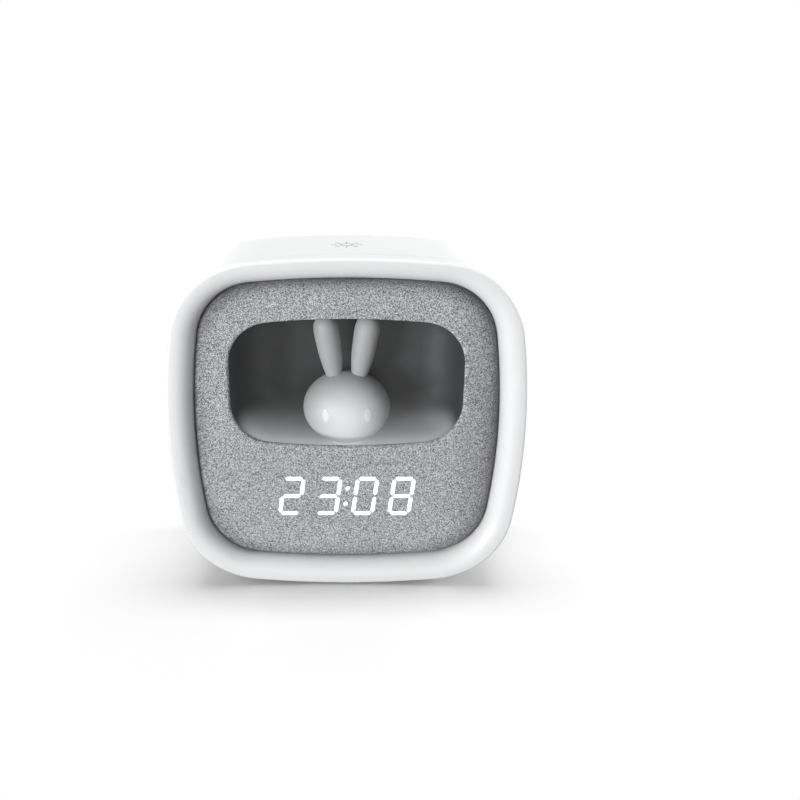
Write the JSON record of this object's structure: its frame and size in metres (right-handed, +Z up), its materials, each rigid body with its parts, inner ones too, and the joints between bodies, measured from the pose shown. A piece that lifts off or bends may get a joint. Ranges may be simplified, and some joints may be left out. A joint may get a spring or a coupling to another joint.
{
  "type": "kids alarm clock with night light",
  "caption": "Rounded-square bedside alarm clock: cloth front with a window niche holding a rabbit-shaped night light, digital time below, press buttons and USB-C socket behind.",
  "frame": {"origin": "on the surface that the rubber feet stand on, below the middle of the clock's width and depth", "axes": "+Z up, the cloth face with the window looks along -Y, +X to the right as seen from the front"},
  "size_m": [0.122, 0.047, 0.1193],
  "materials": {
    "white_shell": "fine satin ABS moulding, soft sheen, very fine spark-eroded grain",
    "plug_white": "satin ABS, as the shell",
    "button_white": "satin ABS, dished cap slightly smoother than the shell",
    "inner_plastic": "plain natural ABS, matt",
    "niche_grey": "matt light grey bowl that spreads the lamp light",
    "melange_cloth": "fine plain weave of light and dark grey melange yarn, matt",
    "shade_silicone": "translucent white silicone, soft skin",
    "eye_silicone": "white silicone insert, smoother than the head",
    "board_green": "FR-4 with green solder mask",
    "led_body": "LED package with yellowish lens",
    "screw_steel": "zinc plated steel",
    "black_plastic": "black moulded plastic",
    "segment_light": "milky light guide, lit white",
    "smoke_film": "smoked diffusing film",
    "component_tan": "ceramic chip parts with tinned ends",
    "socket_white": "nylon connector housing",
    "usb_steel": "nickel plated steel",
    "plunger_black": "black switch plunger",
    "cell_wrap": "shrink sleeve",
    "speaker_steel": "black painted pressed steel",
    "speaker_paper": "black pulp cone",
    "magnet_iron": "nickel plated magnet cup",
    "contact_brass": "thin brass foil",
    "lead_red": "PVC insulated wire",
    "lead_black": "PVC insulated wire",
    "ribbon_film": "polyimide flat cable",
    "foot_rubber": "moulded dark grey rubber"
  },
  "bodies": {
    "root": {"battery_cell": "cell_wrap", "battery_leads": "lead_red", "battery_straps": "inner_plastic", "board_components": "component_tan", "board_screws": "screw_steel", "charge_led": "led_body", "control_chips": "black_plastic", "display_board": "board_green", "display_film": "smoke_film", "display_frame": "black_plastic", "display_ribbon": "ribbon_film", "display_segments": "segment_light", "fabric_cover": "melange_cloth", "front_bezel": "white_shell", "front_panel": "inner_plastic", "housing_screws": "screw_steel", "lamp_board": "board_green", "lamp_leads": "lead_black", "lamp_leds": "led_body", "lamp_screws": "screw_steel", "lead_sockets": "socket_white", "main_board": "board_green", "niche_cup": "niche_grey", "niche_screws": "screw_steel", "rabbit_eyes": "eye_silicone", "rabbit_shade": "shade_silicone", "rear_housing": "white_shell", "rubber_feet": "foot_rubber", "screw_plugs": "plug_white", "shade_ring": "inner_plastic", "speaker_cone": "speaker_paper", "speaker_frame": "speaker_steel", "speaker_leads": "lead_black", "speaker_magnet": "magnet_iron", "switch_bodies": "black_plastic", "touch_board": "board_green", "touch_lead": "lead_black", "touch_plate": "contact_brass", "touch_screws": "screw_steel", "touch_spring": "screw_steel", "usb_shell": "usb_steel", "usb_tongue": "black_plastic"},
    "press_up": {"button_up": "button_white", "plunger_up": "plunger_black"},
    "press_down": {"button_down": "button_white", "plunger_down": "plunger_black"},
    "press_time": {"button_time": "button_white", "plunger_time": "plunger_black"},
    "press_alarm": {"button_alarm": "button_white", "plunger_alarm": "plunger_black"}
  },
  "joints": [
    {"name": "button_up_press", "type": "slide", "parent": "root", "child": "press_up", "axis": [0, -1, 0], "range_m": [0, 0.0005], "stiffness_N_per_m": 1200, "springref_m": -0.0004},
    {"name": "button_down_press", "type": "slide", "parent": "root", "child": "press_down", "axis": [0, -1, 0], "range_m": [0, 0.0005], "stiffness_N_per_m": 1200, "springref_m": -0.0004},
    {"name": "button_time_press", "type": "slide", "parent": "root", "child": "press_time", "axis": [0, -1, 0], "range_m": [0, 0.0005], "stiffness_N_per_m": 1200, "springref_m": -0.0004},
    {"name": "button_alarm_press", "type": "slide", "parent": "root", "child": "press_alarm", "axis": [0, -1, 0], "range_m": [0, 0.0005], "stiffness_N_per_m": 1200, "springref_m": -0.0004}
  ]
}
